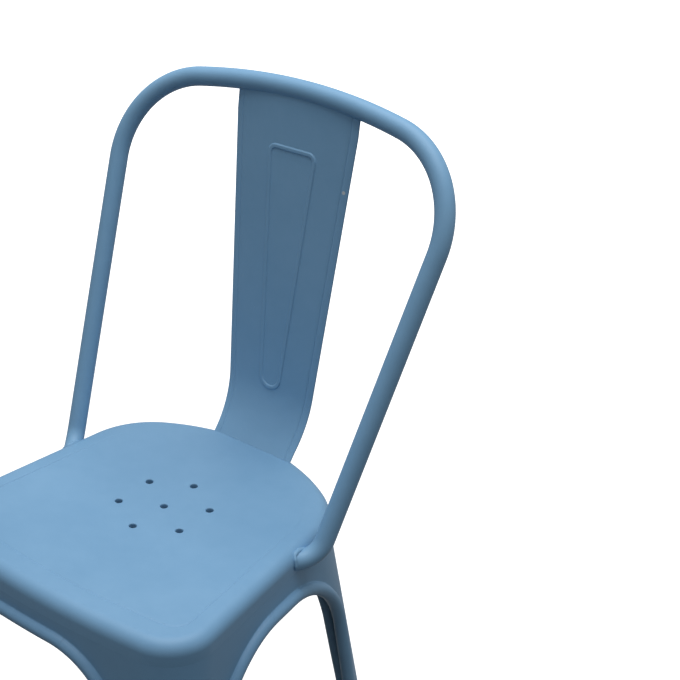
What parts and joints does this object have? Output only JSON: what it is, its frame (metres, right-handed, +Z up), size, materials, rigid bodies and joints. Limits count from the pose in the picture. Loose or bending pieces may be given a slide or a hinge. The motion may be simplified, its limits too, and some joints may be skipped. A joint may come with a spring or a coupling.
{
  "type": "stacking side chair",
  "caption": "Stacking metal bistro chair: rolled pressed seat with drain holes, splayed folded legs, bent tube back hoop and a flat sheet back splat.",
  "frame": {"origin": "on the floor under the middle of the chair's bounding box", "axes": "+Z up, the chair faces -Y, +X is on the left of the person who sits"},
  "size_m": [0.4436, 0.435, 0.835],
  "materials": {
    "painted_steel": "satin powder coat",
    "plated_steel": "zinc plated",
    "black_rubber": "matt"
  },
  "bodies": {
    "root": {"seat_pan": "painted_steel", "front_right_leg": "painted_steel", "front_left_leg": "painted_steel", "rear_right_leg": "painted_steel", "rear_left_leg": "painted_steel", "front_apron": "painted_steel", "rear_apron": "painted_steel", "back_hoop": "painted_steel", "back_splat": "painted_steel", "brace_upper_strip": "painted_steel", "brace_lower_strip": "painted_steel", "brace_bolt": "plated_steel", "brace_washers": "plated_steel", "brace_nut": "plated_steel", "stacking_buffer_front_right": "black_rubber", "stacking_buffer_front_left": "black_rubber", "stacking_buffer_rear_right": "black_rubber", "stacking_buffer_rear_left": "black_rubber", "front_right_foot": "black_rubber", "front_left_foot": "black_rubber", "rear_right_foot": "black_rubber", "rear_left_foot": "black_rubber"}
  },
  "joints": []
}
